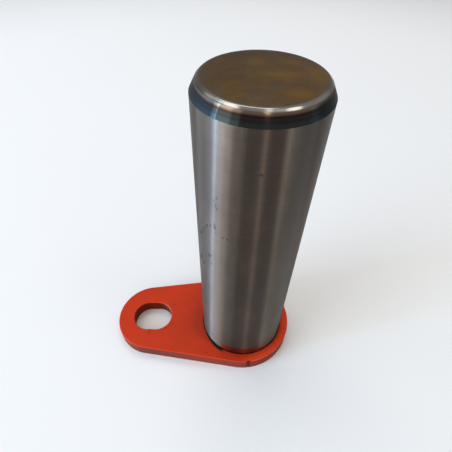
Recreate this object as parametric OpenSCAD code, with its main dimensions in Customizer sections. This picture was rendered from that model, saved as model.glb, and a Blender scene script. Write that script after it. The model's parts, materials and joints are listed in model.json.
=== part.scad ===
// Bucket pin: a ground steel pin passed through a flag plate and welded to it from behind.
// The pin's axis is Z, the flag's front face is at Z = 0, the free end points up
// and the flag reaches out along -X.

/* [Pin] */
// Diameter of the ground journal
pin_d = 45; // [30:1:60]
// Length from the flag's front face to the free end
pin_reach = 145; // [60:1:300]
// Length of the lead-in cone at the free end
lead_len = 4.5; // [2:0.25:8]
// Radial depth of the lead-in cone
lead_depth = 2.25; // [1:0.25:4]
// Radius of the rounded rim between the cone and the end face
rim_r = 1.2; // [0.4:0.1:2.5]
// Radial step from the journal down to the turned tail inside the flag
tail_step = 0.25; // [0.1:0.05:1]
// Bevel on the tail that makes room for the weld
tail_bevel = 4.5; // [2:0.5:6]

/* [Flag] */
// Thickness of the flag plate
flag_t = 8; // [7:0.5:16]
// Width of plate left outside the pin
flag_rim = 5; // [3:0.5:15]
// Width of the flag's outer end
eye_end_w = 40; // [30:1:54]
// Distance from the pin's axis to the middle of the retaining slot
slot_span = 53; // [46:1:100]
// Width of the retaining slot
slot_w = 17.5; // [10:0.5:24]
// Distance between the centres of the slot's round ends
slot_travel = 4.5; // [1:0.5:10]
// Bevel that breaks the flag's outer edges
edge_break = 0.5; // [0.2:0.1:1.5]
// Bevel that breaks the slot's edges
slot_break = 0.3; // [0.1:0.1:1]
// Radial gap between the journal and the flag's hole
hole_gap = 0.4; // [0.1:0.05:1]
// Radius of the mark where the cut of the outline started
start_mark_r = 0.6; // [0.3:0.1:1.5]
// Direction of the start mark, seen from the pin's axis
start_mark_angle = -83; // [-90:1:90]

/* [Weld] */
// Depth of the bead's toes below the flag's back face
weld_sink = 0.8; // [0.4:0.1:1.5]
// Height of the bead's crown over its toes
weld_crown = 0.6; // [0.2:0.1:1]

/* [Hidden] */
$fn = 96;
// Every cut runs this far past the faces that it opens
overrun = 1;

pin_r = pin_d / 2;
tail_r = pin_r - tail_step;
hole_r = pin_r + hole_gap;
back_z = -flag_t;
steel = [0.56, 0.55, 0.53];
flag_red = [0.78, 0.21, 0.12];
weld_red = [0.70, 0.19, 0.11];

// Rounded rim: the sharp corner, its arc's tangent points on the face and the cone, and its centre
rim_corner = [pin_r - lead_depth, pin_reach];
cone_side = norm([lead_depth, lead_len]);
cone_dir = [lead_depth, -lead_len] / cone_side;
rim_half_angle = (90 + atan(lead_depth / lead_len)) / 2;
rim_tangent = rim_r / tan(rim_half_angle);
rim_on_face = rim_corner - [rim_tangent, 0];
rim_on_cone = rim_corner + rim_tangent * cone_dir;
rim_centre = rim_on_face - [0, rim_r];

// Flag: radii of its round ends and of its slot
pin_end_r = pin_r + flag_rim;
eye_end_r = eye_end_w / 2;
slot_r = slot_w / 2;

// Weld groove: between the tail's bevel and the wall of the flag's hole
groove_w = hole_r - tail_r + tail_bevel;
toe_inner_r = tail_r - tail_bevel + weld_sink;
toe_half_w = (hole_r - toe_inner_r) / 2;
crown_r = (toe_half_w * toe_half_w + weld_crown * weld_crown) / (2 * weld_crown);
crown_centre = [hole_r - toe_half_w, back_z + weld_sink - weld_crown + crown_r];

// Turned and ground pin in half section, with its tail, journal, lead-in cone and rounded rim
module pin_section() {
    polygon([
        [0, back_z],
        [tail_r - tail_bevel, back_z],
        [tail_r, back_z + tail_bevel],
        [tail_r, 0],
        [pin_r, 0],
        [pin_r, pin_reach - lead_len],
        rim_on_cone,
        rim_on_face,
        [0, pin_reach]
    ]);
    translate(rim_centre)
        circle(r = rim_r);
}

module pin_shaft() {
    color(steel)
        rotate_extrude()
            pin_section();
}

// Disc as thick as the flag, with both its edges broken
module broken_disc(reach) {
    rotate_extrude()
        polygon([
            [0, back_z],
            [reach - edge_break, back_z],
            [reach, back_z + edge_break],
            [reach, -edge_break],
            [reach - edge_break, 0],
            [0, 0]
        ]);
}

// Flag before it is pierced: two round ends joined by their common tangents
module flag_blank() {
    hull() {
        broken_disc(pin_end_r);
        translate([-slot_span, 0, 0])
            broken_disc(eye_end_r);
    }
}

// Cut with round ends, of half-width r_low at height z_low and r_high at z_high
module slot_cut(r_low, r_high, z_low, z_high) {
    for (side = [-1, 1])
        translate([side * slot_travel / 2, 0, z_low])
            cylinder(r1 = r_low, r2 = r_high, h = z_high - z_low);
    rotate([90, 0, 90])
        translate([0, 0, -slot_travel / 2])
            linear_extrude(height = slot_travel)
                polygon([[-r_low, z_low], [r_low, z_low], [r_high, z_high], [-r_high, z_high]]);
}

// Retaining slot with its edges broken on both faces
module retaining_slot() {
    break_r = slot_r + slot_break;
    translate([-slot_span, 0, 0]) {
        slot_cut(slot_r, slot_r, back_z - overrun, overrun);
        slot_cut(slot_r, break_r, -slot_break, 0);
        slot_cut(break_r, slot_r, back_z, back_z + slot_break);
    }
}

module flag_plate() {
    color(flag_red)
        difference() {
            flag_blank();
            translate([0, 0, back_z - overrun])
                cylinder(r = hole_r, h = flag_t + 2 * overrun);
            retaining_slot();
            rotate([0, 0, start_mark_angle])
                translate([pin_end_r, 0, back_z - overrun])
                    cylinder(r = start_mark_r, h = flag_t + 2 * overrun);
        }
}

// Ring of weld that fills the groove, with a crowned face just inside the flag's back
module weld_bead() {
    color(weld_red)
        rotate_extrude()
            intersection() {
                polygon([
                    [hole_r - groove_w, back_z],
                    [hole_r, back_z],
                    [hole_r, back_z + tail_bevel],
                    [tail_r, back_z + tail_bevel]
                ]);
                translate(crown_centre)
                    circle(r = crown_r);
            }
}

pin_shaft();
flag_plate();
weld_bead();
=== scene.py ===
"""Bucket pin: ground, heat-tinted steel through a painted flag, welded behind, on a pale floor."""

import json
import math

import bpy
import numpy as np
from bpy.props import FloatProperty, FloatVectorProperty, IntProperty, PointerProperty
from bpy.types import Operator, Panel, PropertyGroup
from mathutils import Matrix, Vector


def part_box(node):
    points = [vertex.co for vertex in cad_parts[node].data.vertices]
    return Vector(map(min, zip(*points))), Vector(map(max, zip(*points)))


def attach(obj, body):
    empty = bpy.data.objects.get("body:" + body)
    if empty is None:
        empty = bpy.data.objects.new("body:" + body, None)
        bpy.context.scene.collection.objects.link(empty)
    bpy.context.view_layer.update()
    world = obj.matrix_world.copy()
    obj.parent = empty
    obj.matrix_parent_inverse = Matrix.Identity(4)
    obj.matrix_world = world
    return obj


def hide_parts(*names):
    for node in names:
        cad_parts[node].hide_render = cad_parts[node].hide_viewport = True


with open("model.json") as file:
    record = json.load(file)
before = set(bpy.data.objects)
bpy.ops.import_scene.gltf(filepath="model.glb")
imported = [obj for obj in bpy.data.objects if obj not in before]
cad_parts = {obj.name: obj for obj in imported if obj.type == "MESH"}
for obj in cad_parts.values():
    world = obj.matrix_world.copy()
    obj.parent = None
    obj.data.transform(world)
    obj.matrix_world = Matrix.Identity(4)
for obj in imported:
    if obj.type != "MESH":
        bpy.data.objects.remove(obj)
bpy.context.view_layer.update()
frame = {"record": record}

bl_info = {
    "name": "Bucket Pin",
    "version": (1, 0, 0),
    "blender": (4, 5, 0),
    "location": "View3D > Sidebar > Bucket Pin",
    "description": "Builds the pin, its painted flag, the weld between them and a plain stage",
    "category": "Add Mesh",
}

MM = 0.001
MOUNTS = {mount["name"]: mount for mount in frame["record"]["mounts"]}
JOURNAL = MOUNTS["journal"]["dims"]
SLOT = MOUNTS["keeper_slot"]["dims"]
SLOT_X = MOUNTS["keeper_slot"]["pos_m"][0]
SLOT_R = SLOT["hole_r_mm"] * MM
SLOT_HALF = SLOT["slot_length_mm"] * MM / 2 - SLOT_R
PIN_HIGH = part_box("pin_shaft")[1]
FLAG_LOW, FLAG_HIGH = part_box("flag_plate")
WELD_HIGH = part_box("weld_bead")[1]
SURFACE_MAP = "Surface"


def length(label, text, default):
    """A length in metres that a user can change."""
    return FloatProperty(name=label, description=text, default=default, unit="LENGTH", precision=5)


def angle(label, text, degrees):
    """An angle that a user can change, with its default in degrees."""
    return FloatProperty(name=label, description=text, default=math.radians(degrees), subtype="ANGLE")


def count(label, text, default, lowest):
    """A whole number that a user can change."""
    return IntProperty(name=label, description=text, default=default, min=lowest)


def colour(label, text, default):
    """A linear colour that a user can change."""
    return FloatVectorProperty(
        name=label, description=text, default=default, subtype="COLOR", size=3, min=0, max=1
    )


class PinSizes(PropertyGroup):
    """Sizes of the turned and ground pin."""

    radius: length("Radius", "Radius of the ground journal", JOURNAL["r_mm"] * MM)
    journal_top: length("Journal top", "Height where the lead-in cone starts", JOURNAL["length_mm"] * MM)
    top: length("Top", "Height of the end face", PIN_HIGH.z)
    lead_depth: length("Lead-in depth", "Radial depth of the lead-in cone", 2.25 * MM)
    rim_flat: length("Rim flat", "Width of the broken edge between the cone and the end face", 1.15 * MM)
    rim_slope: angle("Rim slope", "How far the broken edge leans in", 50)
    rim_radius: length("Rim radius", "Radius of both corners of the broken edge", 0.55 * MM)
    tail_step: length("Tail step", "Radial step from the journal to the tail", 0.25 * MM)
    sides: count("Sides", "Divisions round the pin", 240, 24)


class FlagSizes(PropertyGroup):
    """Sizes of the flag plate."""

    back: length("Back", "Height of the back face", FLAG_LOW.z)
    pin_end: length("Pin end", "Radius of the end round the pin", FLAG_HIGH.y)
    eye_end: length("Eye end", "Radius of the end round the slot", SLOT_X - FLAG_LOW.x)
    hole: length("Hole", "Radius of the hole for the pin", WELD_HIGH.x)
    paint_gap: length("Paint gap", "Gap to the pin where paint has closed the hole", 0.06 * MM)
    slot_x: length("Slot place", "Middle of the slot along X", SLOT_X)
    slot_radius: length("Slot radius", "Half the slot's width", SLOT_R)
    slot_half: length("Slot half", "Half the straight stretch of the slot", SLOT_HALF)
    edge: length("Edge", "Radius of the painted outer edges", 0.45 * MM)
    slot_edge: length("Slot edge", "Radius of the slot's edges", 0.35 * MM)
    hole_edge: length("Hole edge", "Radius of the hole's edges", 0.15 * MM)
    mark: length("Start mark", "Radius of the mark where the cut of the outline started", 0.6 * MM)
    mark_depth: length("Mark depth", "Depth of the mark that the paint leaves open", 0.2 * MM)
    mark_turn: angle("Mark turn", "Direction of the start mark", -83)


class WeldSizes(PropertyGroup):
    """Sizes of the weld bead."""

    depth: length("Depth", "Depth of the weld groove", WELD_HIGH.z - FLAG_LOW.z)
    sink: length("Sink", "Depth of the bead's toes below the back face", 0.8 * MM)
    crown: length("Crown", "Height of the crown over the toes", 0.45 * MM)
    ripple: length("Ripple", "Height of one ripple", 0.16 * MM)
    ripples: count("Ripples", "Ripples round the bead", 64, 8)


class Finishes(PropertyGroup):
    """Colours of the part."""

    steel: colour("Ground steel", "Ground journal", (0.074, 0.056, 0.044))
    face_brown: colour("End face brown", "Heat-tinted end face", (0.156, 0.076, 0.029))
    face_olive: colour("End face olive", "Olive cast on the end face", (0.124, 0.078, 0.022))
    face_ochre: colour("End face ochre", "Straw-coloured patches on the end face", (0.215, 0.116, 0.014))
    face_grey: colour("End face grey", "Bare grey patches on the end face", (0.122, 0.090, 0.062))
    rust: colour("Rust", "Rust and dirt specks on the journal", (0.022, 0.014, 0.012))
    paint: colour("Flag paint", "Orange-red paint", (0.55, 0.040, 0.011))
    # painted sheen: brighter paint on the flag's face at the pin's right
    paint_sheen: colour("Fresh paint", "Brighter paint at the pin's right", (0.74, 0.062, 0.018))
    # darker paint: painted shade on the flag's walls, and thin paint on the weld
    wall_shade_and_thin_paint: colour("Thin paint", "Thin, dirty paint on the cut edges", (0.17, 0.016, 0.006))
    # thick dark paint, also painted shade in the start mark's recess
    paint_pool_and_shade: colour("Paint pool", "Thick dark paint in the start mark", (0.06, 0.004, 0.003))
    paint_splash: colour("Paint splash", "Paint that ran down the pin's foot", (0.17, 0.017, 0.007))
    # painted shade on the rim's sides and back
    rim_side_shade: colour("Smoke", "Share of the heat tint left on the rim's sides and back", (0.45, 0.42, 0.38))
    # painted shade on the cone's dull sides
    cone_side_shade: colour("Dull oxide", "Share of the heat tint left on the cone's dull sides", (0.25, 0.29, 0.36))
    # the dirt colour also paints the shade beside the pin and on the flag's outer walls
    dirt: colour("Dirt", "Dirt in the gap round the pin", (0.02, 0.014, 0.011))
    bare: colour("Bare metal", "Metal where the paint is gone", (0.16, 0.13, 0.12))


class StageSettings(PropertyGroup):
    """Floor, camera and soft light."""

    floor: colour("Floor", "Pale floor", (0.90, 0.88, 0.86))
    world: colour("World", "Soft light from all round", (0.41, 0.41, 0.41))
    eye: FloatVectorProperty(
        name="Eye",
        description="Place of the camera",
        default=(-0.01100, -0.10195, 0.18885),
        subtype="TRANSLATION",
        precision=5,
    )
    azimuth: angle("Azimuth", "Turn of the camera", -0.408)
    elevation: angle("Elevation", "How far the camera looks down", 46.974)
    roll: angle("Roll", "Roll of the camera", 1.095)
    lens: FloatProperty(name="Lens", description="Focal length on a 36 mm sensor", default=27.494)


# Surfaces as arrays


# Distances at which two points of a line, and two vertices of a mesh, count as one
SAME_POINT = 1e-9
MERGE_STEP = 1e-8


def ways(angles):
    """Unit vectors (cos a, sin a) for angles a in radians."""
    return np.stack([np.cos(angles), np.sin(angles)], -1)


def arc(centre, radius, start, stop, steps):
    """Points of a circle's arc: centre + radius (cos a, sin a), with a from start to stop in degrees."""
    return np.asarray(centre) + radius * ways(np.radians(np.linspace(start, stop, steps)))


def line(start, stop, steps):
    """Points of a straight line, both ends included."""
    t = np.linspace(0, 1, steps)[:, None]
    return (1 - t) * np.asarray(start, float) + t * np.asarray(stop, float)


def polyline(*stretches):
    """Stretches joined into one line, without points that repeat."""
    points = np.concatenate(stretches)
    apart = np.linalg.norm(np.diff(points, axis=0), axis=1) > SAME_POINT
    return points[np.concatenate([[True], apart])]


def run_along(points):
    """Distance along a line, at each of its points."""
    return np.concatenate([[0.0], np.cumsum(np.linalg.norm(np.diff(points, axis=0), axis=1))])


def round_axis(radii, heights, turn):
    """Grid (r cos a, r sin a, z) about the pin's axis: a row for each r and z, a column for each turn a."""
    return np.stack(np.broadcast_arrays(radii * np.cos(turn), radii * np.sin(turn), heights), -1)


def patch_faces(rows, columns, flip, first):
    """Quads of a grid of rows by columns, whose columns close into a ring."""
    i, j = np.meshgrid(np.arange(rows - 1), np.arange(columns), indexing="ij")
    k = (j + 1) % columns
    quads = np.stack([i * columns + j, (i + 1) * columns + j, (i + 1) * columns + k, i * columns + k], -1)
    quads = quads.reshape(-1, 4) + first
    return quads[:, ::-1] if flip else quads


def welded(patches):
    """Grid patches (points, flip) as one mesh, with vertices in the same place merged."""
    points, faces, first = [], [], 0
    for grid, flip in patches:
        rows, columns = grid.shape[:2]
        points.append(grid.reshape(-1, 3))
        faces.append(patch_faces(rows, columns, flip, first))
        first += rows * columns
    points = np.concatenate(points)
    cells = np.round(points / MERGE_STEP).astype(np.int64)
    _, keep, place = np.unique(cells, axis=0, return_index=True, return_inverse=True)
    return points[keep], place.reshape(-1)[np.concatenate(faces)].tolist()


def fan(pole, first, runs, order, sides):
    """Triangles from a pole to the ring that starts at first, and their corners on the map. The runs are the
    distances along the profile at the pole and at the ring, and the order of the steps 0 and 1 round the
    ring sets which way the triangles face."""
    j = np.arange(sides)
    steps = [j + step for step in order]
    faces = np.stack([np.full(sides, pole), *(first + step % sides for step in steps)], -1)
    shares = np.stack([j + 0.5, *steps], -1) / sides
    distances = np.broadcast_to([runs[0], runs[1], runs[1]], shares.shape)
    return faces, np.stack([distances, shares], -1)


def revolved(profile, sides):
    """Surface of revolution: (r cos a, r sin a, z) for each profile point (r, z) and a = 2 pi j / sides.
    The profile's two ends lie on the axis and become poles. The map holds the distance along the profile
    and the share of a turn."""
    run = run_along(profile)
    radii, heights = profile[1:-1, :1], profile[1:-1, 1:]
    rings = round_axis(radii, heights, 2 * np.pi * np.arange(sides) / sides)
    points = np.concatenate([[[0, 0, profile[0, 1]]], rings.reshape(-1, 3), [[0, 0, profile[-1, 1]]]])
    i, j = np.meshgrid(np.arange(len(radii) - 1), np.arange(sides), indexing="ij")
    row = np.stack([i, i, i + 1, i + 1], -1).reshape(-1, 4)
    column = np.stack([j, j + 1, j + 1, j], -1).reshape(-1, 4)
    quads = 1 + row * sides + column % sides
    quad_map = np.stack([run[1:-1][row], column / sides], -1)
    top_pole = len(points) - 1
    low, low_map = fan(0, 1, run[[0, 1]], (1, 0), sides)
    high, high_map = fan(top_pole, top_pole - sides, run[[-1, -2]], (0, 1), sides)
    faces = quads.tolist() + low.tolist() + high.tolist()
    maps = (quad_map, low_map, high_map)
    corners = np.concatenate([part.reshape(-1, 2) for part in maps])
    along = np.concatenate([part[..., 0].mean(1) for part in maps])
    return points, faces, corners, along


def new_piece(name, points, faces, sharp, corners=None):
    """Mesh object from points and faces, smooth apart from edges that turn by more than sharp degrees."""
    mesh = bpy.data.meshes.new(name)
    mesh.from_pydata(points.tolist(), [], faces)
    if corners is not None:
        layer = mesh.uv_layers.new(name=SURFACE_MAP)
        layer.data.foreach_set("uv", corners.astype(np.float32).ravel())
    mesh.polygons.foreach_set("use_smooth", np.ones(len(mesh.polygons), bool))
    mesh.set_sharp_from_angle(angle=math.radians(sharp))
    mesh.validate()
    mesh.update()
    piece = bpy.data.objects.new(name, mesh)
    bpy.context.scene.collection.objects.link(piece)
    return piece


def place_piece(piece, node, slot, *materials):
    """Gives a piece its materials, sets it on the part's body and lets it stand for its CAD node."""
    for material in materials:
        piece.data.materials.append(material)
    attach(piece, "root")
    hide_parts(node)


# The pin


# Degrees past which an edge of the pin stays sharp
PIN_SHARP = 20

# Points round the rim's lower corner, on its flat and round its upper corner
RIM_LOW_POINTS = 5
RIM_FLAT_POINTS = 5
RIM_HIGH_POINTS = 7


def rim_section(pin, cone_slope):
    """Broken edge between the cone and the end face: a flat with both its corners rounded.

    The flat cuts a triangle off the sharp corner. With slopes c of the cone, f of the flat and 90 of the
    face, the sine rule gives how far it reaches down the cone, flat cos f / cos c, and over the face,
    flat sin(f - c) / cos c.
    """
    flat_slope = math.degrees(pin.rim_slope)
    c, f = math.radians(cone_slope), pin.rim_slope
    down_cone = np.array([math.sin(c), -math.cos(c)])
    down_flat = np.array([math.sin(f), -math.cos(f)])
    corner = np.array([pin.radius - pin.lead_depth, pin.top])
    low = corner + pin.rim_flat * math.cos(f) / math.cos(c) * down_cone
    high = corner - [pin.rim_flat * math.sin(f - c) / math.cos(c), 0]
    low_start = low + pin.rim_radius * math.tan((f - c) / 2) * down_cone
    high_start = high + pin.rim_radius * math.tan((math.pi / 2 - f) / 2) * down_flat
    low_centre = low_start - pin.rim_radius * np.array([math.cos(c), math.sin(c)])
    high_centre = high_start - pin.rim_radius * np.array([math.cos(f), math.sin(f)])
    low_corner = arc(low_centre, pin.rim_radius, cone_slope, flat_slope, RIM_LOW_POINTS)
    high_corner = arc(high_centre, pin.rim_radius, flat_slope, 90, RIM_HIGH_POINTS)
    flat = line(low_corner[-1], high_corner[0], RIM_FLAT_POINTS)[1:-1]
    return np.concatenate([low_corner, flat, high_corner])


def pin_stretches(pin, flag, weld):
    """Half section of the pin as named stretches, from the tail's middle to the middle of the end face.
    The last number of each straight line is its count of points."""
    tail_r = pin.radius - pin.tail_step
    lead = pin.top - pin.journal_top
    cone_slope = math.degrees(math.atan2(pin.lead_depth, lead))
    rim = rim_section(pin, cone_slope)
    bevel_in = tail_r - weld.depth
    return {
        "tail face": line((0, flag.back), (bevel_in, flag.back), 6),
        "bevel": line((bevel_in, flag.back), (tail_r, flag.back + weld.depth), 4),
        "tail": line((tail_r, flag.back + weld.depth), (tail_r, 0), 4),
        "step": line((tail_r, 0), (pin.radius, 0), 2),
        "journal": line((pin.radius, 0), (pin.radius, pin.journal_top), 90),
        "cone": line((pin.radius, pin.journal_top), rim[0], 14),
        "rim": rim,
        "end face": line(rim[-1], (0, pin.top), 40),
    }


def pin_marks(stretches):
    """Distance along the profile at which each named stretch starts."""
    marks, run = {}, 0.0
    for name, points in stretches.items():
        marks[name] = run
        run += run_along(points)[-1]
    return marks


# The flag


# Degrees past which an edge of the flag stays sharp
FLAG_SHARP = 40

# Stations on the outline: up to the start mark, over it, on from it, round the slot's end, along a side,
# and on the cut that parts the hole's face from the slot's
BEFORE_MARK = 4
OVER_MARK = 31
AFTER_MARK = 84
ROUND_SLOT = 80
ALONG_SIDE = 36
ALONG_CUT = 24
# Stretch of finer stations over the start mark, in times its radius
MARK_REACH = 2.2

# Points round each edge of a wall, and down the wall
OUTER_POINTS = (7, 12)
HOLE_POINTS = (5, 8)
SLOT_POINTS = (6, 12)
# Rings across a flat face, closer together at its two borders
FACE_SHARES = np.concatenate([[0, 0.02, 0.05], np.linspace(0.1, 0.9, 14), [0.95, 0.98, 1]])

# Smallest sine that a length is divided by
SMALLEST_SINE = 1e-9

# Direction of the front, in degrees from +X
FRONT = -90
# Turns in degrees from the front: where the hole is open, and over which paint closes it
OPEN_MIDDLE = -14
OPEN_HALF = 60
CLOSING = 16


class FlagOutline:
    """Outline of two round ends joined by their common tangents, as stations with their outward normals."""

    def __init__(self, flag):
        span = -flag.slot_x
        turn = math.degrees(math.pi - math.acos((flag.pin_end - flag.eye_end) / span))
        mark = math.degrees(flag.mark_turn)
        reach = MARK_REACH * math.degrees(flag.mark / flag.pin_end)
        big = np.concatenate([
            np.linspace(-turn, mark - reach, BEFORE_MARK)[:-1],
            np.linspace(mark - reach, mark + reach, OVER_MARK)[:-1],
            np.linspace(mark + reach, turn, AFTER_MARK),
        ])
        small = np.linspace(turn, 360 - turn, ROUND_SLOT)
        big_normal, small_normal = ways(np.radians(big)), ways(np.radians(small))
        big_points = flag.pin_end * big_normal
        small_points = flag.eye_end * small_normal + [flag.slot_x, 0]
        upper = line(big_points[-1], small_points[0], ALONG_SIDE)[1:-1]
        lower = line(small_points[-1], big_points[0], ALONG_SIDE)[1:-1]
        self.points = np.concatenate([big_points, upper, small_points, lower])
        self.normals = np.concatenate([
            big_normal,
            np.repeat(big_normal[-1:], len(upper), 0),
            small_normal,
            np.repeat(big_normal[:1], len(lower), 0),
        ])
        away = np.radians(big - mark) * flag.pin_end
        groove = flag.mark_depth / flag.mark * np.sqrt(np.maximum(flag.mark**2 - away**2, 0))
        self.groove = np.concatenate([groove, np.zeros(len(self.points) - len(big))])
        halfway = (flag.slot_x + flag.slot_half + flag.slot_radius - flag.hole) / 2
        first_lower = len(big) + len(upper) + len(small)
        self.upper_cut = len(big) + int(np.argmin(np.abs(upper[:, 0] - halfway)))
        self.lower_cut = first_lower + int(np.argmin(np.abs(lower[:, 0] - halfway)))

    def inset(self, depth):
        """The outline moved inwards along its normals, with the start mark's groove."""
        return self.points - self.normals * (self.groove + depth)[:, None]

    def regions(self, depth):
        """Two rings of points, round the hole and round the slot, that share the line between them."""
        ring = self.inset(depth)
        cut = line(ring[self.upper_cut], ring[self.lower_cut], ALONG_CUT)[1:-1]
        round_hole = np.concatenate([ring[self.lower_cut:], ring[:self.upper_cut + 1], cut])
        round_slot = np.concatenate([ring[self.upper_cut:self.lower_cut + 1], cut[::-1]])
        return round_hole, round_slot


def slot_ring(directions, radius, half):
    """Points where rays from the middle meet a slot's outline: the straight sides at |y| = radius,
    and the round ends of that radius about x = half and x = -half."""
    c, s = np.cos(directions), np.sin(directions)
    side = radius / np.maximum(np.abs(s), SMALLEST_SINE)
    reach = half * np.abs(c) + np.sqrt(np.maximum(radius**2 - (half * s) ** 2, 0))
    distance = np.where(side * np.abs(c) <= half, side, reach)
    return np.stack([distance * c, distance * s], -1)


def at_height(ring, height):
    """A flat ring of points, lifted to one height."""
    return np.concatenate([ring, np.full((len(ring), 1), height)], 1)


def wall_patch(ring_at, edge, back, edge_points, wall_points):
    """Wall from height 0 to the back, with both its edges rounded. Its rows of (inset, height) follow a
    quarter circle, the wall and a quarter circle, and each is the ring at that inset and height."""
    upper = arc((edge, -edge), edge, 90, 180, edge_points)
    lower = arc((edge, back + edge), edge, 180, 270, edge_points)
    wall = line(upper[-1], lower[0], wall_points)[1:-1]
    rows = np.concatenate([upper, wall, lower])
    return np.stack([at_height(ring_at(inset), height) for inset, height in rows])


def ring_face(inner, outer, height):
    """Flat face between two rings: (1 - t) inner + t outer for each share t."""
    return np.stack([at_height((1 - t) * inner + t * outer, height) for t in FACE_SHARES])


def hole_radius(way, flag, pin):
    """Radius of the hole in each direction: its own at the front, and down to a hair's breadth from the pin
    where paint has closed the gap, with a smooth step 3 s^2 - 2 s^3 between them."""
    turn = (np.degrees(way) - FRONT + 180) % 360 - 180
    shut = np.clip((np.abs(turn - OPEN_MIDDLE) - OPEN_HALF) / CLOSING, 0, 1)
    shut = shut * shut * (3 - 2 * shut)
    return flag.hole - shut * (flag.hole - pin.radius - flag.paint_gap)


def flag_patches(flag, pin):
    """Grid patches of the flag: its outer wall, the walls of its hole and slot, and both faces."""
    outline = FlagOutline(flag)
    round_hole, round_slot = outline.regions(flag.edge)
    middle = np.array([flag.slot_x, 0])
    hole_way = np.arctan2(round_hole[:, 1], round_hole[:, 0])
    slot_way = np.arctan2(round_slot[:, 1], round_slot[:, 0] - flag.slot_x)

    def hole_at(inset):
        return (hole_radius(hole_way, flag, pin) + inset)[:, None] * ways(hole_way)

    def slot_at(inset):
        return slot_ring(slot_way, flag.slot_radius + inset, flag.slot_half) + middle

    hole_face = (hole_at(flag.hole_edge), round_hole)
    slot_face = (slot_at(flag.slot_edge), round_slot)
    return [
        (wall_patch(outline.inset, flag.edge, flag.back, *OUTER_POINTS), False),
        (wall_patch(hole_at, flag.hole_edge, flag.back, *HOLE_POINTS), True),
        (wall_patch(slot_at, flag.slot_edge, flag.back, *SLOT_POINTS), True),
        (ring_face(*hole_face, 0), False),
        (ring_face(*slot_face, 0), False),
        (ring_face(*hole_face, flag.back), True),
        (ring_face(*slot_face, flag.back), True),
    ]


# The weld


# Degrees past which an edge of the weld stays sharp
WELD_SHARP = 40
# Points across the bead's crown and along each ripple
POINTS_ACROSS = 25
POINTS_A_RIPPLE = 10
# How far the ripples bow forward, in radians of one ripple
RIPPLE_BOW = 2.4
# Waves round the bead: size, how many round the ring, and start
UNEVEN_RIPPLES = ((0.5, 5, 1.0),)
UNEVEN_CROWN = ((0.06 * MM, 3, 0.7), (0.04 * MM, 7, 0.0))


def waves(turn, parts):
    """Sum of size sin(count a + start) over the parts, for each turn a."""
    return sum(size * np.sin(number * turn + start) for size, number, start in parts)


def weld_patch(pin, flag, weld):
    """Ring of weld: a section of crown, hole wall, root and bevel, carried round the axis. The crown is a
    parabola across the bead, with ripples on it that bow forward at the middle of the bead."""
    tail_r = pin.radius - pin.tail_step
    toe_in = tail_r - weld.depth + weld.sink
    toe = flag.back + weld.sink
    root = flag.back + weld.depth
    across = np.linspace(0, 1, POINTS_ACROSS)[:, None]
    turn = np.linspace(0, 2 * np.pi, weld.ripples * POINTS_A_RIPPLE, endpoint=False)
    dome = 1 - (2 * across - 1) ** 2
    phase = weld.ripples * turn + RIPPLE_BOW * dome + waves(turn, UNEVEN_RIPPLES)
    ripple = weld.ripple * np.abs(np.cos(phase / 2)) * np.sqrt(dome)
    crown_z = toe - weld.crown * dome - ripple + waves(turn, UNEVEN_CROWN) * dome
    crown_r = np.repeat(toe_in + (flag.hole - toe_in) * across, len(turn), 1)
    # The hole's wall, the root and the bevel, each with its count of points
    rest = polyline(
        line((flag.hole, toe), (flag.hole, root), 4)[1:],
        line((flag.hole, root), (tail_r, root), 3),
        line((tail_r, root), (toe_in, toe), 5)[:-1],
    )
    radii = np.concatenate([crown_r, np.repeat(rest[:, :1], len(turn), 1)])
    heights = np.concatenate([crown_z, np.repeat(rest[:, 1:], len(turn), 1)])
    grid = round_axis(radii, heights, turn)
    return np.concatenate([grid, grid[:1]])


# Materials


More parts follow.
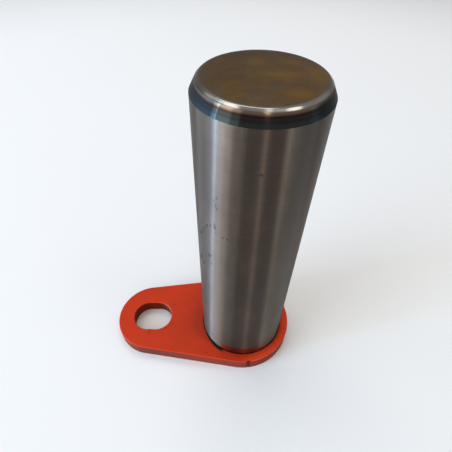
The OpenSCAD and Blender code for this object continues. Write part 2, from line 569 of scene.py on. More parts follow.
class Wiring:
    """Short calls that make and join the nodes of one tree."""

    def __init__(self, tree):
        self.tree = tree

    def feed(self, socket, value):
        """Joins a socket to another, or gives it a plain value."""
        if isinstance(value, bpy.types.NodeSocket):
            self.tree.links.new(value, socket)
        else:
            socket.default_value = value

    def node(self, kind, inputs=None, **settings):
        """A node with its settings and inputs."""
        node = self.tree.nodes.new(kind)
        for name, value in settings.items():
            setattr(node, name, value)
        for name, value in (inputs or {}).items():
            self.feed(node.inputs[name], value)
        return node

    def math(self, operation, first, *others):
        """One operation on a value, or on several from left to right."""
        total = first
        for other in others or (0.0,):
            total = self.node("ShaderNodeMath", {0: total, 1: other}, operation=operation).outputs[0]
        return total

    def times(self, *values):
        """Values multiplied together."""
        return self.math("MULTIPLY", *values)

    def plus(self, *values):
        """Values added together."""
        return self.math("ADD", *values)

    def minus(self, value, other):
        """One value less another."""
        return self.math("SUBTRACT", value, other)

    def most(self, *values):
        """The highest of several values."""
        return self.math("MAXIMUM", *values)

    def mix(self, share, a, b, blend="MIX"):
        """Colour a, with that share of colour b over it."""
        node = self.node("ShaderNodeMix", {0: share, 6: a, 7: b}, data_type="RGBA", blend_type=blend)
        return node.outputs[2]

    def shaded(self, shade, tone):
        """A colour times a tone, where a tone of 1 leaves it as it is."""
        grey = self.node("ShaderNodeCombineColor", {0: tone, 1: tone, 2: tone}).outputs[0]
        return self.mix(1.0, shade, grey, "MULTIPLY")

    def fade(self, value, start, stop, low=0.0, high=1.0):
        """A value that goes smoothly from low at start to high at stop."""
        inputs = {"Value": value, "From Min": start, "From Max": stop, "To Min": low, "To Max": high}
        return self.node("ShaderNodeMapRange", inputs, interpolation_type="SMOOTHSTEP").outputs[0]

    def spread(self, noise, low, high, half=0.2):
        """The middle of a noise, half to each side of 0.5, spread from low to high."""
        return self.fade(noise, 0.5 - half, 0.5 + half, low, high)

    def band(self, value, start, full, ebb, gone):
        """A mask that rises from start to full and falls from ebb to gone."""
        return self.times(self.fade(value, start, full), self.fade(value, gone, ebb))

    def noise(self, place, scale, detail=2.0, roughness=0.5, stretch=(1, 1, 1)):
        """Cloudy noise from 0 to 1, whose place can be stretched first."""
        place = self.node("ShaderNodeVectorMath", {0: place, 1: stretch}, operation="MULTIPLY").outputs[0]
        inputs = {"Vector": place, "Scale": scale, "Detail": detail, "Roughness": roughness}
        return self.node("ShaderNodeTexNoise", inputs).outputs[0]

    def split(self, vector):
        """The X, Y and Z of a vector."""
        return self.node("ShaderNodeSeparateXYZ", {0: vector}).outputs

    def bump(self, strength, distance, height, under=None):
        """Normals bent by a relief, over those of another relief where one is given."""
        inputs = {"Strength": strength, "Distance": distance, "Height": height}
        if under is not None:
            inputs["Normal"] = under
        return self.node("ShaderNodeBump", inputs).outputs[0]

    def ramp(self, value, stops):
        """Colours at places from 0 to 1, blended between them."""
        node = self.node("ShaderNodeValToRGB", {0: value})
        elements = node.color_ramp.elements
        while len(elements) < len(stops):
            elements.new(0.5)
        for element, (place, shade) in zip(elements, stops):
            element.position = place
            element.color = rgba(shade)
        return node.outputs[0]

    def group(self, name, **inputs):
        """A shared effect, as the outputs of its node group."""
        node = self.tree.nodes.new("ShaderNodeGroup")
        node.node_tree = bpy.data.node_groups[name]
        for key, value in inputs.items():
            self.feed(node.inputs[key.replace("_", " ").capitalize()], value)
        return node.outputs


def rgba(shade):
    """A linear colour with its alpha."""
    return (*shade[:3], 1.0)


def new_group(name, inputs, outputs):
    """An empty shader node group with named sockets, and the wiring for it."""
    tree = bpy.data.node_groups.new(name, "ShaderNodeTree")
    for side, sockets in (("INPUT", inputs), ("OUTPUT", outputs)):
        for label, kind in sockets.items():
            tree.interface.new_socket(label, in_out=side, socket_type="NodeSocket" + kind)
    wiring = Wiring(tree)
    return wiring, wiring.node("NodeGroupInput").outputs, wiring.node("NodeGroupOutput").inputs


def make_round_place():
    """Group: distance from the pin's axis, turn in degrees from the front towards +X, and height."""
    wiring, given, out = new_group(
        "Round Place", {"Place": "Vector"}, {"Radius": "Float", "Turn": "Float", "Height": "Float"}
    )
    parts = wiring.split(given["Place"])
    flat = wiring.node("ShaderNodeVectorMath", {0: given["Place"], 1: (1, 1, 0)}, operation="MULTIPLY")
    radius = wiring.node("ShaderNodeVectorMath", {0: flat.outputs[0]}, operation="LENGTH")
    front = wiring.times(parts["Y"], -1.0)
    wiring.feed(out["Radius"], radius.outputs["Value"])
    wiring.feed(out["Turn"], wiring.math("DEGREES", wiring.math("ARCTAN2", parts["X"], front)))
    wiring.feed(out["Height"], parts["Z"])


def make_spot():
    """Group: a soft oval mask about a place on two measures, with the second one sloped by the first."""
    names = (
        "Across", "Along", "Across middle", "Across half", "Along middle", "Along half",
        "Slope", "Soft", "Ragged",
    )
    wiring, given, out = new_group("Spot", dict.fromkeys(names, "Float"), {"Mask": "Float"})
    off = wiring.minus(given["Across"], given["Across middle"])
    tilt = wiring.times(off, given["Slope"])
    rise = wiring.minus(wiring.minus(given["Along"], given["Along middle"]), tilt)
    squares = [
        wiring.math("POWER", wiring.math("ABSOLUTE", wiring.math("DIVIDE", part, given[half])), 2.0)
        for part, half in ((off, "Across half"), (rise, "Along half"))
    ]
    reach = wiring.plus(wiring.math("SQRT", wiring.plus(*squares)), given["Ragged"])
    wiring.feed(out["Mask"], wiring.fade(reach, 1.0, wiring.minus(1.0, given["Soft"])))


def make_specks():
    """Group: small dark flecks, as the high peaks of a fine noise."""
    wiring, given, out = new_group(
        "Specks", {"Place": "Vector", "Size": "Float", "Amount": "Float"}, {"Mask": "Float"}
    )
    grain = wiring.noise(given["Place"], wiring.math("DIVIDE", 1.0, given["Size"]), 3.0, 0.65)
    start = wiring.minus(1.0, given["Amount"])
    wiring.feed(out["Mask"], wiring.fade(grain, start, wiring.plus(start, 0.08)))


def make_paint_coat():
    """Group: brushed-on enamel, with cloudy shade, fine dust and an uneven skin."""
    wiring, given, out = new_group(
        "Paint Coat",
        {"Place": "Vector", "Paint": "Color", "Thin paint": "Color", "Thinness": "Float"},
        {"Colour": "Color", "Roughness": "Float", "Height": "Float"},
    )
    clouds = wiring.noise(given["Place"], 38.0, 3.0, 0.55)
    grain = wiring.noise(given["Place"], 900.0, 2.0, 0.6)
    skin = wiring.noise(given["Place"], 420.0, 2.0, 0.5)
    # The second paint comes in with the thinness: painted shade on the flag's walls, thin paint on the weld
    thin_and_shaded = wiring.times(given["Thinness"], wiring.fade(grain, 0.2, 0.7, 0.75, 1.0))
    body = wiring.mix(thin_and_shaded, given["Paint"], given["Thin paint"])
    tone = wiring.times(wiring.spread(clouds, 0.90, 1.06), wiring.spread(grain, 0.94, 1.05, 0.25))
    wiring.feed(out["Colour"], wiring.shaded(body, tone))
    wiring.feed(out["Roughness"], wiring.spread(clouds, 0.44, 0.56))
    wiring.feed(out["Height"], wiring.plus(skin, wiring.times(grain, 0.35)))


def new_material(name):
    """A material with its wiring, its shader's sockets and the Object coordinates."""
    material = bpy.data.materials.new(name)
    material.use_nodes = True
    wiring = Wiring(material.node_tree)
    shader = next(node for node in material.node_tree.nodes if node.type == "BSDF_PRINCIPLED")
    place = wiring.node("ShaderNodeTexCoord").outputs["Object"]
    return material, wiring, shader.inputs, place


def enamel(wiring, place, paint, thin_paint, thinness):
    """The coat of paint, as colour, roughness and height."""
    return wiring.group(
        "Paint Coat", place=place, paint=rgba(paint), thin_paint=rgba(thin_paint), thinness=thinness
    )


def spots(wiring, across, along, places, soft=0.6, ragged=0.0):
    """The highest of several spot masks."""
    masks = [
        wiring.group(
            "Spot", across=across, along=along, across_middle=middle, across_half=half,
            along_middle=along_middle, along_half=along_half, slope=slope, soft=soft, ragged=ragged,
        )[0]
        for middle, half, along_middle, along_half, slope in places
    ]
    return wiring.most(0.0, *masks)


# Depths of the fine relief on the steel and on the paint, and sizes of the dark flecks on flag and weld
STEEL_GRAIN = 0.02 * MM
PAINT_SKIN = 0.06 * MM
FLECK_SIZE = 1.3 * MM
SPATTER_SIZE = 0.9 * MM

# Rust specks on the journal: turn and half turn in degrees, height, half height and rise for each degree
RUST_SPOTS = (
    (-63.0, 2.6, 87.0 * MM, 1.3 * MM, 0.2 * MM),
    (-58.0, 1.8, 90.5 * MM, 1.0 * MM, 0.0),
    (-54.0, 1.5, 93.0 * MM, 0.8 * MM, 0.0),
    (-50.0, 1.7, 95.2 * MM, 0.8 * MM, 0.0),
    (-45.5, 1.5, 96.5 * MM, 0.7 * MM, 0.0),
    (-40.3, 2.0, 97.6 * MM, 1.2 * MM, -0.3 * MM),
    (-39.0, 1.0, 94.8 * MM, 0.6 * MM, 0.0),
    (-37.5, 1.0, 112.0 * MM, 0.8 * MM, 0.0),
    (-41.0, 2.2, 110.2 * MM, 0.5 * MM, 0.0),
    (-38.6, 1.0, 108.5 * MM, 0.9 * MM, 0.0),
    (-37.5, 1.2, 107.2 * MM, 0.7 * MM, 0.0),
    (-31.0, 1.5, 94.0 * MM, 0.7 * MM, 0.0),
    (-26.0, 1.5, 94.2 * MM, 0.6 * MM, 0.0),
    (-48.5, 2.2, 78.0 * MM, 1.1 * MM, 0.0),
    (-45.2, 1.2, 79.0 * MM, 0.6 * MM, 0.0),
    (-67.0, 2.6, 69.5 * MM, 1.8 * MM, 0.2 * MM),
    (-62.0, 2.2, 68.0 * MM, 1.4 * MM, 0.0),
    (-45.7, 1.0, 73.6 * MM, 0.6 * MM, 0.0),
    (-1.0, 2.4, 125.5 * MM, 0.5 * MM, 0.0),
)
# Faint stained areas round the specks
STAIN_SPOTS = (
    (-55.0, 18.0, 90.0 * MM, 6.0 * MM, 0.4 * MM),
    (-60.0, 16.0, 72.0 * MM, 7.0 * MM, 0.2 * MM),
)

# Side of the journal, in degrees of turn, that is darker high up and lighter low down, between these heights
TONED_SIDE = (18.0, 34.0, 95.0, 125.0)
TONED_HEIGHTS = (128.0 * MM, 88.0 * MM)

# Splash of paint at the pin's foot: its side, the turns between which its top comes down, and its border
SPLASH_SIDE = (-31.6, -30.4, 30.0, 55.0)
SPLASH_SLOPE = (-2.0, 55.0)
SPLASH_TOP = (5.5 * MM, 0.6 * MM)
SPLASH_BORDER = (0.6 * MM, -0.4 * MM)
SPLASH_RAGGED = 0.4 * MM


def steel_material(finish):
    """Ground steel: fine lines round the journal, rust specks and a splash of paint at the foot."""
    material, wiring, shader, place = new_material("ground_steel")
    where = wiring.group("Round Place", place=place)
    turn, height = where["Turn"], where["Height"]
    lines = wiring.noise(place, 1.0, 3.0, 0.7, (30, 30, 1500))
    clouds = wiring.noise(place, 1.0, 4.0, 0.6, (90, 90, 40))
    swell = wiring.noise(place, 1.0, 3.0, 0.6, (260, 260, 9))
    # The journal's right side and back: darker high up and lighter low down
    side_tone = wiring.fade(height, *TONED_HEIGHTS, 0.86, 1.24)
    side_tone = wiring.fade(wiring.band(turn, *TONED_SIDE), 0.0, 1.0, 1.0, side_tone)
    tone = wiring.times(wiring.spread(lines, 0.94, 1.06), wiring.spread(clouds, 0.90, 1.10), side_tone)
    journal = wiring.shaded(rgba(finish.steel), tone)
    grit = wiring.noise(place, 900.0, 2.0, 0.6)
    rust = spots(wiring, turn, height, RUST_SPOTS, 0.9, wiring.spread(grit, -0.75, 0.25, 0.25))
    haze = spots(wiring, turn, height, STAIN_SPOTS, 1.0)
    haze = wiring.times(haze, wiring.fade(grit, 0.45, 0.75, 0.08, 0.5))
    stain = wiring.most(wiring.times(rust, 0.95), haze)
    journal = wiring.mix(stain, journal, rgba(finish.rust))

    paint = enamel(wiring, place, finish.paint_splash, finish.dirt, 0.1)
    ragged = wiring.spread(wiring.noise(place, 60.0, 2.0, 0.5), -SPLASH_RAGGED, SPLASH_RAGGED)
    top = wiring.plus(wiring.fade(turn, *SPLASH_SLOPE, *SPLASH_TOP), ragged)
    splash = wiring.fade(wiring.minus(height, top), *SPLASH_BORDER)
    splash = wiring.times(splash, wiring.band(turn, *SPLASH_SIDE))
    wiring.feed(shader["Base Color"], wiring.mix(splash, journal, paint["Colour"]))
    wiring.feed(shader["Metallic"], wiring.fade(stain, 0.0, 1.0, 1.0, 0.2))
    gloss = wiring.plus(wiring.spread(lines, 0.35, 0.39, 0.25), wiring.times(stain, 0.2))
    wiring.feed(shader["Roughness"], wiring.most(gloss, wiring.times(splash, 0.6)))
    relief = wiring.plus(wiring.times(lines, 0.4), wiring.times(stain, -1.0), wiring.times(splash, 1.5))
    under = wiring.bump(1.0, STEEL_GRAIN, swell)
    wiring.feed(shader["Normal"], wiring.bump(0.1, STEEL_GRAIN, relief, under))
    shader["Anisotropic"].default_value = 1.0
    shader["Specular IOR Level"].default_value = 0.2
    tangent = wiring.node("ShaderNodeTangent", direction_type="UV_MAP", uv_map=SURFACE_MAP)
    wiring.feed(shader["Tangent"], tangent.outputs[0])
    return material


# Patches on the end face: X, half width, Y, half depth and slope, as shares of the pin's radius
OCHRE_SHARES = (
    (0.74, 0.24, 0.02, 0.42, 0.0),
    (0.42, 0.24, 0.45, 0.14, -0.1),
    (-0.08, 0.20, 0.45, 0.18, 0.0),
    (-0.57, 0.10, 0.46, 0.14, 0.5),
    (0.42, 0.28, -0.52, 0.18, 0.0),
    (-0.44, 0.18, -0.26, 0.08, 0.4),
    (0.25, 0.36, 0.03, 0.14, 0.0),
)
GREY_SHARES = (
    (0.20, 0.20, 0.67, 0.11, -0.2),
    (0.60, 0.09, 0.27, 0.16, -0.5),
    (0.14, 0.20, -0.38, 0.09, 0.0),
    (-0.10, 0.34, -0.62, 0.16, 0.0),
    (-0.74, 0.12, -0.10, 0.34, 0.0),
    (-0.62, 0.24, -0.50, 0.22, 0.0),
)

# Heat tint from the foot of the cone to the end face
TINT_STOPS = (
    (0.00, (0.042, 0.047, 0.043)),
    (0.18, (0.037, 0.046, 0.044)),
    (0.33, (0.031, 0.026, 0.023)),
    (0.42, (0.043, 0.036, 0.034)),
    (0.49, (0.032, 0.026, 0.024)),
    (0.54, (0.032, 0.019, 0.013)),
    (0.58, (0.068, 0.039, 0.025)),
    (0.62, (0.131, 0.077, 0.047)),
    (0.66, (0.190, 0.121, 0.077)),
    (0.72, (0.214, 0.152, 0.110)),
    (0.79, (0.262, 0.206, 0.160)),
    (0.84, (0.383, 0.358, 0.325)),
    (1.00, (0.340, 0.320, 0.290)),
)

# Where painted shade darkens the cone's dull sides and the rim's sides: in degrees of turn, and in shares of
# the tint
DULL_LEFT = (-38.5, -44.0)
DULL_RIGHT = (27.0, 46.0)
DULL_SHARES = (0.80, 0.71)
RIM_SHADE_SIDES = (48.0, 70.0)
RIM_SHADE_SHARES = (0.70, 0.84)

# Distances over the end face from the rim: where its colour comes in, and its bare border
FACE_START = (-0.2 * MM, 0.9 * MM)
BARE_BORDER = (3.2 * MM, 0.6 * MM)


def end_material(pin, finish, marks):
    """Free end of the pin: a heat-tinted cone and rim, and a brown face with straw and bare patches."""
    material, wiring, shader, place = new_material("tinted_end")
    along = wiring.split(wiring.node("ShaderNodeUVMap", uv_map=SURFACE_MAP).outputs[0])["X"]
    depth = wiring.node(
        "ShaderNodeMapRange", {"Value": along, "From Min": marks["cone"], "From Max": marks["end face"]}
    ).outputs[0]
    depth = wiring.plus(depth, wiring.spread(wiring.noise(place, 60.0, 2.0, 0.5), -0.03, 0.03, 0.3))
    turn = wiring.group("Round Place", place=place)["Turn"]
    # Painted shade: the cone's sides darker, as well as rougher
    sides = wiring.most(wiring.fade(turn, *DULL_LEFT), wiring.fade(turn, *DULL_RIGHT))
    dull = wiring.times(sides, wiring.fade(depth, *DULL_SHARES))
    tint = wiring.mix(dull, wiring.ramp(depth, TINT_STOPS), rgba(finish.cone_side_shade), "MULTIPLY")
    # Painted shade on the rim's sides and back
    rim_side_shaded = wiring.fade(wiring.math("ABSOLUTE", turn), *RIM_SHADE_SIDES)
    rim_side_shaded = wiring.times(rim_side_shaded, wiring.fade(depth, *RIM_SHADE_SHARES))
    tint = wiring.mix(rim_side_shaded, tint, rgba(finish.rim_side_shade), "MULTIPLY")

    parts = wiring.split(place)
    across = wiring.math("DIVIDE", parts["X"], pin.radius)
    deep = wiring.math("DIVIDE", parts["Y"], pin.radius)
    past_rim = wiring.minus(along, marks["end face"])
    blotch = wiring.noise(place, 320.0, 5.0, 0.7)
    mottle = wiring.noise(place, 1.0, 5.0, 0.65, (110, 420, 110))
    rings = wiring.noise(wiring.node("ShaderNodeCombineXYZ", {0: along}).outputs[0], 2600.0, 3.0, 0.6)
    ragged = wiring.spread(blotch, -0.7, 0.7, 0.25)
    ochre = wiring.times(spots(wiring, across, deep, OCHRE_SHARES, 0.8, ragged), 0.7)
    grey = wiring.times(spots(wiring, across, deep, GREY_SHARES, 0.9, ragged), 0.7)
    border = wiring.times(wiring.fade(past_rim, *BARE_BORDER), wiring.spread(blotch, 0.4, 0.8))
    olive = wiring.spread(mottle, 0.0, 1.0, 0.15)
    face = wiring.mix(olive, rgba(finish.face_brown), rgba(finish.face_olive))
    face = wiring.mix(wiring.most(grey, border), face, rgba(finish.face_grey))
    face = wiring.mix(ochre, face, rgba(finish.face_ochre))
    # Painted shade: the end face darker towards the left and the back, over its lathe rings and mottle
    left = wiring.times(wiring.fade(across, 0.1, -0.6), wiring.fade(deep, -0.55, -0.15))
    tone_and_shade = wiring.times(
        wiring.spread(rings, 0.95, 1.04),
        wiring.spread(blotch, 0.82, 1.18),
        wiring.fade(left, 0.0, 1.0, 1.0, 0.82),
        wiring.fade(deep, 0.1, 0.75, 1.0, 0.76),
    )
    face = wiring.shaded(face, tone_and_shade)
    on_face = wiring.fade(past_rim, *FACE_START)
    wiring.feed(shader["Base Color"], wiring.mix(on_face, tint, face))
    shader["Metallic"].default_value = 1.0
    gloss = wiring.plus(
        wiring.times(dull, 0.42),
        wiring.times(on_face, 0.32),
        wiring.fade(depth, 0.50, 0.62, 0.13, 0.15),
        wiring.spread(blotch, -0.02, 0.02),
    )
    wiring.feed(shader["Roughness"], gloss)
    wiring.feed(shader["Normal"], wiring.bump(0.1, STEEL_GRAIN, wiring.plus(rings, blotch)))
    return material


# Small marks on the flag: X, half width, Y, half depth and slope
FLAG_MARKS = (
    (-53.8 * MM, 2.0 * MM, -9.1 * MM, 0.35 * MM, 0.0),
    (-53.6 * MM, 0.35 * MM, -10.6 * MM, 1.9 * MM, 0.0),
    (-41.0 * MM, 0.7 * MM, 7.6 * MM, 0.5 * MM, 0.4),
    (-40.5 * MM, 0.3 * MM, 3.5 * MM, 0.3 * MM, 0.0),
    (-40.2 * MM, 0.4 * MM, -5.1 * MM, 0.5 * MM, 0.0),
    (-39.4 * MM, 0.3 * MM, -7.0 * MM, 0.4 * MM, 0.0),
    (-44.6 * MM, 1.2 * MM, -7.9 * MM, 0.3 * MM, 0.5),
    (-20.0 * MM, 0.5 * MM, -22.2 * MM, 0.4 * MM, 0.0),
    (24.6 * MM, 0.4 * MM, -7.4 * MM, 0.5 * MM, 0.0),
)

# Dark wedge beside the pin: turns between which it widens and at which it stops, its widths and its border
WEDGE_TURNS = (-70.0, -30.0)
WEDGE_STOP = (-27.0, -28.5)
WEDGE_THIN = 0.25 * MM
WEDGE_WIDE = 1.5 * MM
WEDGE_BORDER = 0.12 * MM
# Dirt in the seam, and painted shade on the face beside the pin: distances from the hole's wall, and sides
# in degrees of turn
SEAM = (0.35 * MM, 0.1 * MM)
SEAM_FRONT = (95.0, 70.0)
PIN_SHADE_SIDE = (-170.0, -110.0, -80.0, -45.0)
PIN_SHADE_NARROW = 3.0 * MM
PIN_SHADE_WIDE = 16.0 * MM
PIN_SHADE_FULL = 0.8 * MM
# Dark paint in the start mark, also painted shade in its recess: half its turn in degrees and half its depth
POOL_TURN = 3.2
POOL_DEPTH = 0.9 * MM
# Side with a painted sheen of brighter paint on the flag's face, in degrees of turn
SHEEN_SIDE = (-8.0, 22.0, 80.0, 120.0)
# Distance from the slot's middle at which its own walls end, and X between which the outer wall's painted
# shade deepens
SLOT_WALLS = (15.0 * MM, 17.0 * MM)
WALL_SHADE_REACH = (-20.0 * MM, -60.0 * MM)
# Bare scuffs in the slot: distances beyond its round end's centre and wall, and from its middle
SCUFF_START = (2.0 * MM, 6.0 * MM)
SCUFF_STOP = (0.4 * MM, 0.2 * MM)
SCUFF_SIDE = (1.0 * MM, 4.0 * MM)


def flag_material(flag, finish):
    """Flag enamel: painted shade on its walls and by the pin, dirt round the pin, painted sheen, a few
    marks.
    """
    material, wiring, shader, place = new_material("flag_paint")
    where = wiring.group("Round Place", place=place)
    turn, radius = where["Turn"], where["Radius"]
    parts = wiring.split(place)
    facing = wiring.split(wiring.node("ShaderNodeNewGeometry").outputs["Normal"])["Z"]
    # The walls take the darker paint as painted shade
    wall = wiring.fade(wiring.math("ABSOLUTE", facing), 0.85, 0.3)
    paint = enamel(wiring, place, finish.paint, finish.wall_shade_and_thin_paint, wall)
    from_slot = wiring.node("ShaderNodeVectorMath", {0: place, 1: (flag.slot_x, 0, 0)}, operation="DISTANCE")
    outside_slot = wiring.fade(from_slot.outputs["Value"], *SLOT_WALLS)

    reach = wiring.fade(turn, *WEDGE_TURNS, flag.hole + WEDGE_THIN, flag.hole + WEDGE_WIDE)
    wedge = wiring.fade(wiring.minus(radius, reach), WEDGE_BORDER, -WEDGE_BORDER)
    wedge = wiring.times(wedge, wiring.fade(turn, *WEDGE_STOP))
    seam = wiring.fade(radius, *(flag.hole + distance for distance in SEAM))
    at_front = wiring.fade(wiring.math("ABSOLUTE", turn), *SEAM_FRONT, 0.6, 1.0)
    dirt = wiring.times(wiring.most(wedge, seam), at_front)
    ragged = wiring.spread(wiring.noise(place, 1500.0), -0.4, 0.4, 0.25)
    marks = spots(wiring, parts["X"], parts["Y"], FLAG_MARKS, 0.5, ragged)
    flecks = wiring.group("Specks", place=place, size=FLECK_SIZE, amount=0.24)[0]
    soil = wiring.most(dirt, wiring.times(marks, 0.75), wiring.times(flecks, 0.35))
    # More painted shade on the flag's outer walls towards the slot's end
    wall_shade = wiring.times(wall, wiring.fade(parts["X"], *WALL_SHADE_REACH, 0.42, 0.65), outside_slot)
    # Painted shade on the face beside the pin, widest towards the slot and mottled by noise
    towards_slot = wiring.band(turn, *PIN_SHADE_SIDE)
    pin_shade_end = wiring.fade(towards_slot, 0.0, 1.0, flag.hole + PIN_SHADE_NARROW, flag.hole + PIN_SHADE_WIDE)
    pin_shade = wiring.fade(radius, pin_shade_end, flag.hole + PIN_SHADE_FULL, 0.0, 0.32)
    pin_shade = wiring.times(pin_shade, wiring.fade(wiring.noise(place, 90.0, 3.0, 0.6), 0.25, 0.7, 0.6, 1.1))
    # Dark paint and painted shade in the start mark
    pool_turn = math.degrees(flag.mark_turn) - FRONT
    pool = spots(wiring, turn, radius, [(pool_turn, POOL_TURN, flag.pin_end, POOL_DEPTH, 0.0)])
    # Painted sheen: brighter paint on the face at the pin's right
    right_sheen = wiring.times(wiring.band(turn, *SHEEN_SIDE), wiring.minus(1.0, wall))
    body = wiring.mix(right_sheen, paint["Colour"], rgba(finish.paint_sheen))
    # The dirt colour paints the shade beside the pin
    body = wiring.mix(pin_shade, body, rgba(finish.dirt))
    # Dirt, marks and flecks, and the outer walls' painted shade, in the dirt colour
    body = wiring.mix(wiring.most(soil, wall_shade), body, rgba(finish.dirt))
    body = wiring.mix(pool, body, rgba(finish.paint_pool_and_shade))

    streaks = wiring.noise(place, 1.0, 2.0, 0.6, (180, 180, 900))
    end_centre = flag.slot_x + flag.slot_half
    end_wall = end_centre + flag.slot_radius
    scuff = wiring.times(
        wiring.fade(parts["X"], *(end_centre + distance for distance in SCUFF_START)),
        wiring.fade(parts["X"], *(end_wall + distance for distance in SCUFF_STOP)),
        wiring.fade(parts["Y"], *SCUFF_SIDE),
        wall,
        wiring.spread(streaks, 0.0, 1.0, 0.08),
        wiring.minus(1.0, outside_slot),
    )
    wiring.feed(shader["Base Color"], wiring.mix(wiring.times(scuff, 0.8), body, rgba(finish.bare)))
    wiring.feed(shader["Metallic"], wiring.times(scuff, 0.6))
    shader["Specular IOR Level"].default_value = 0.06
    wiring.feed(shader["Roughness"], wiring.plus(paint["Roughness"], wiring.times(soil, 0.3)))
    wiring.feed(shader["Normal"], wiring.bump(0.2, PAINT_SKIN, paint["Height"]))
    return material


def weld_material(finish):
    """Enamel over the weld, with dirt caught between the ripples."""
    material, wiring, shader, place = new_material("weld_paint")
    soot = wiring.noise(place, 220.0, 3.0, 0.6)
    paint = enamel(wiring, place, finish.paint, finish.wall_shade_and_thin_paint, wiring.fade(soot, 0.4, 0.7))
    spatter = wiring.group("Specks", place=place, size=SPATTER_SIZE, amount=0.36)[0]
    body = wiring.mix(wiring.times(spatter, 0.5), paint["Colour"], rgba(finish.dirt))
    wiring.feed(shader["Base Color"], body)
    wiring.feed(shader["Roughness"], wiring.plus(paint["Roughness"], wiring.times(spatter, 0.2)))
    wiring.feed(shader["Normal"], wiring.bump(0.3, PAINT_SKIN, paint["Height"]))
    return material


# The stage


# Distance of the lamps, width of the camera's sensor in millimetres, and the nearest distance that it sees
LAMP_DISTANCE = 2.5
SENSOR_MM = 36
NEAR_CLIP = 0.01

# Floor: its gap below the flag, its opening as a share of the flag's radius at the pin, its rings and sides
FLOOR_GAP = 0.02 * MM
FLOOR_OPEN_SHARE = 0.9
FLOOR_RINGS = (0.1, 0.25, 0.6, 1.0, 1.5)
FLOOR_SIDES = 64
FLOOR_SHARP = 30
# Distances from the axis between which the floor comes in, and lengths of the rays that it lets pass
FLOOR_FADE = (1.45, 0.5)
FLOOR_PASS = (0.3 * MM, 0.6 * MM)
# Share of the floor's colour in its darker clouds
FLOOR_CLOUD = 0.985

# Lamps: azimuth and elevation, width and height as seen from the part in degrees, brightness and colour
LAMPS = {
    "window": (170, 2, 24, 4, 54.0, (0.56, 0.76, 1.0)),
    "window_edge": (-166, 2, 24, 4, 105.0, (0.50, 0.70, 1.0)),
    "edge_strip": (-160.5, 2, 5, 4, 480.0, (0.40, 0.66, 1.0)),
    "key": (-150, 2, 8, 4, 201.0, (0.69, 0.82, 1.0)),
    "key_side": (-140, 2, 12, 4, 100.0, (0.76, 0.87, 1.0)),
    "key_tail": (-124, 2, 20, 4, 27.0, (0.80, 0.97, 1.0)),
    "front_strip": (-84.5, 2, 3, 4, 72.0, (1.0, 0.98, 0.95)),
    "right_strip": (-50, 2, 8, 4, 50.0, (0.88, 1.0, 0.98)),
    "right_side": (-40, 2, 12, 4, 19.0, (0.72, 0.92, 0.96)),
    "far_fill": (-19, 2, 26, 4, 15.0, (0.50, 0.78, 0.96)),
    "key_tall": (-151, 30, 20, 42, 3.0, (0.72, 0.88, 1.0)),
    "key_soft": (-133, 26, 12, 28, 1.0, (0.72, 0.88, 1.0)),
    "key_high": (-170, 59.5, 14, 13, 2.6, (1.0, 1.0, 1.0)),
    "edge_tall": (-165.5, 22, 4.5, 28, 14.0, (0.44, 0.64, 1.0)),
    "edge_high": (173.5, 51.5, 3.5, 10, 3.0, (0.60, 0.85, 1.0)),
    "window_high": (160, 41, 20, 18, 0.5, (0.66, 0.86, 1.0)),
    "back_high": (112, 66, 36, 22, 2.9, (1.0, 0.97, 0.93)),
    "front_tall": (-84, 46, 6, 38, 2.4, (1.0, 0.98, 0.95)),
    "front_high": (0, 83, 54, 6.5, 1.5, (1.0, 0.98, 0.96)),
    "right_high": (-16, 57, 13, 12, 2.5, (1.0, 0.99, 0.97)),
    "right_fill": (-40, 64, 14, 12, 0.4, (0.90, 1.0, 1.0)),
}


def direction(azimuth, elevation):
    """Unit vector of an azimuth, turned from +X towards +Y, and an elevation, both in degrees."""
    a, e = math.radians(azimuth), math.radians(elevation)
    return Vector((math.cos(a) * math.cos(e), math.sin(a) * math.cos(e), math.sin(e)))


def standing(place, right, up, back):
    """Matrix of an object at a place, that looks away from back with right and up as its own X and Y."""
    return Matrix.Translation(place) @ Matrix((right, up, back)).transposed().to_4x4()


def add_lamp(name, azimuth, elevation, wide, tall, brightness, shade):
    """Rectangular lamp that faces the part; its power gives it the stated brightness."""
    data = bpy.data.lights.new(name, "AREA")
    data.shape = "RECTANGLE"
    data.size = 2 * LAMP_DISTANCE * math.tan(math.radians(wide) / 2)
    data.size_y = 2 * LAMP_DISTANCE * math.tan(math.radians(tall) / 2)
    data.energy = brightness * math.pi * data.size * data.size_y
    data.color = shade
    lamp = bpy.data.objects.new(name, data)
    way = direction(azimuth, elevation)
    side = Vector((0, 0, 1)).cross(way).normalized()
    lamp.matrix_world = standing(LAMP_DISTANCE * way, side, way.cross(side), way)
    lamp.visible_camera = False
    bpy.context.scene.collection.objects.link(lamp)


def add_camera(stage):
    """Camera that looks down on the part, turned, tilted and rolled as set."""
    back = Vector((
        math.sin(stage.azimuth) * math.cos(stage.elevation),
        -math.cos(stage.azimuth) * math.cos(stage.elevation),
        math.sin(stage.elevation),
    ))
    level = Vector((math.cos(stage.azimuth), math.sin(stage.azimuth), 0))
    upright = back.cross(level)
    right = math.cos(stage.roll) * level + math.sin(stage.roll) * upright
    up = math.cos(stage.roll) * upright - math.sin(stage.roll) * level
    data = bpy.data.cameras.new("camera")
    data.lens = stage.lens
    data.sensor_width = SENSOR_MM
    data.clip_start = NEAR_CLIP
    camera = bpy.data.objects.new("camera", data)
    camera.matrix_world = standing(stage.eye, right, up, back)
    bpy.context.scene.collection.objects.link(camera)
    bpy.context.scene.camera = camera


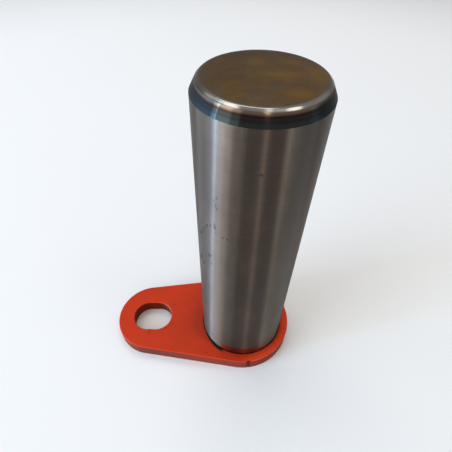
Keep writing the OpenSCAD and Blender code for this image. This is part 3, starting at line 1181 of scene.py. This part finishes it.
def add_floor(stage, flag):
    """Flat round floor: (r cos a, r sin a, level). It leaves the pin's end of the flag open below, fades out
    at its rim and shows only from above. Rays that start within about half a millimetre of it pass, so that
    the back is lit from below."""
    rings = np.array([FLOOR_OPEN_SHARE * flag.pin_end, *FLOOR_RINGS])[:, None]
    turn = np.linspace(0, 2 * np.pi, FLOOR_SIDES, endpoint=False)
    points, faces = welded([(round_axis(rings, flag.back - FLOOR_GAP, turn), False)])
    floor = new_piece("floor", points, faces, FLOOR_SHARP)
    material, wiring, shader, place = new_material("floor")
    clouds = wiring.noise(place, 3.0, 2.0, 0.5)
    darker = rgba([FLOOR_CLOUD * part for part in stage.floor])
    wiring.feed(shader["Base Color"], wiring.mix(clouds, rgba(stage.floor), darker))
    near = wiring.fade(wiring.group("Round Place", place=place)["Radius"], *FLOOR_FADE)
    above = wiring.minus(1.0, wiring.node("ShaderNodeNewGeometry").outputs["Backfacing"])
    beyond = wiring.fade(wiring.node("ShaderNodeLightPath").outputs["Ray Length"], *FLOOR_PASS)
    wiring.feed(shader["Alpha"], wiring.times(near, above, beyond))
    shader["Roughness"].default_value = 0.9
    shader["Specular IOR Level"].default_value = 0.1
    floor.data.materials.append(material)


# Operators, panel and main


class MakePin(Operator):
    """Make the ground pin with its lead-in cone, rounded rim and turned tail"""

    bl_idname = "bucket_pin.make_pin"
    bl_label = "Pin"

    def execute(self, context):
        sizes = context.scene.pin_sizes
        finish = context.scene.finishes
        stretches = pin_stretches(sizes, context.scene.flag_sizes, context.scene.weld_sizes)
        marks = pin_marks(stretches)
        points, faces, corners, along = revolved(polyline(*stretches.values()), sizes.sides)
        piece = new_piece("pin", points, faces, PIN_SHARP, corners)
        materials = (steel_material(finish), end_material(sizes, finish, marks), weld_material(finish))
        place_piece(piece, "pin_shaft", "ground_steel", *materials)
        # Faces past the cone's foot take the second material, and those before the tail the third
        zones = np.select([along > marks["cone"], along < marks["tail"]], [1, 2], 0)
        piece.data.polygons.foreach_set("material_index", zones.astype(np.int32))
        return {"FINISHED"}


class MakeFlag(Operator):
    """Make the painted flag with its slot, its hole for the pin and its rounded edges"""

    bl_idname = "bucket_pin.make_flag"
    bl_label = "Flag"

    def execute(self, context):
        sizes = context.scene.flag_sizes
        points, faces = welded(flag_patches(sizes, context.scene.pin_sizes))
        piece = new_piece("flag", points, faces, FLAG_SHARP)
        place_piece(piece, "flag_plate", "flag_paint", flag_material(sizes, context.scene.finishes))
        return {"FINISHED"}


class MakeWeld(Operator):
    """Make the rippled weld between the pin's tail and the flag"""

    bl_idname = "bucket_pin.make_weld"
    bl_label = "Weld"

    def execute(self, context):
        grid = weld_patch(context.scene.pin_sizes, context.scene.flag_sizes, context.scene.weld_sizes)
        points, faces = welded([(grid, True)])
        piece = new_piece("weld", points, faces, WELD_SHARP)
        # The pin's operator has made this paint, for the end of its tail
        place_piece(piece, "weld_bead", "weld_paint", bpy.data.materials["weld_paint"])
        return {"FINISHED"}


class MakeStage(Operator):
    """Make the floor, the lamps, the soft surrounding light and the camera"""

    bl_idname = "bucket_pin.make_stage"
    bl_label = "Stage"

    def execute(self, context):
        stage = context.scene.stage_settings
        add_floor(stage, context.scene.flag_sizes)
        for name, settings in LAMPS.items():
            add_lamp(name, *settings)
        world = bpy.data.worlds.new("studio")
        world.use_nodes = True
        world.node_tree.nodes["Background"].inputs["Color"].default_value = rgba(stage.world)
        context.scene.world = world
        context.scene.view_settings.view_transform = "Standard"
        add_camera(stage)
        return {"FINISHED"}


class BucketPinPanel(Panel):
    """Sizes, finishes and buttons of the bucket pin"""

    bl_idname = "VIEW3D_PT_bucket_pin"
    bl_label = "Bucket Pin"
    bl_space_type = "VIEW_3D"
    bl_region_type = "UI"
    bl_category = "Bucket Pin"

    def draw(self, context):
        for group, operator in PANEL_ROWS:
            settings = getattr(context.scene, group)
            box = self.layout.box()
            for name in settings.__annotations__:
                box.prop(settings, name)
            if operator:
                box.operator(operator.bl_idname)


GROUPS = {
    "pin_sizes": PinSizes,
    "flag_sizes": FlagSizes,
    "weld_sizes": WeldSizes,
    "finishes": Finishes,
    "stage_settings": StageSettings,
}
PANEL_ROWS = (
    ("finishes", None),
    ("pin_sizes", MakePin),
    ("flag_sizes", MakeFlag),
    ("weld_sizes", MakeWeld),
    ("stage_settings", MakeStage),
)
CLASSES = (*GROUPS.values(), MakePin, MakeFlag, MakeWeld, MakeStage, BucketPinPanel)
EFFECTS = (make_round_place, make_spot, make_specks, make_paint_coat)


def register():
    """Registers the settings, the operators and the panel."""
    for cls in CLASSES:
        bpy.utils.register_class(cls)
    for name, cls in GROUPS.items():
        setattr(bpy.types.Scene, name, PointerProperty(type=cls))


def unregister():
    """Takes the settings, the operators and the panel away again."""
    for name in GROUPS:
        delattr(bpy.types.Scene, name)
    for cls in reversed(CLASSES):
        bpy.utils.unregister_class(cls)


def main():
    """Builds the whole scene."""
    register()
    for make_effect in EFFECTS:
        make_effect()
    bpy.ops.bucket_pin.make_pin()
    bpy.ops.bucket_pin.make_flag()
    bpy.ops.bucket_pin.make_weld()
    bpy.ops.bucket_pin.make_stage()
    bpy.context.view_layer.update()


if __name__ == "__main__":
    main()
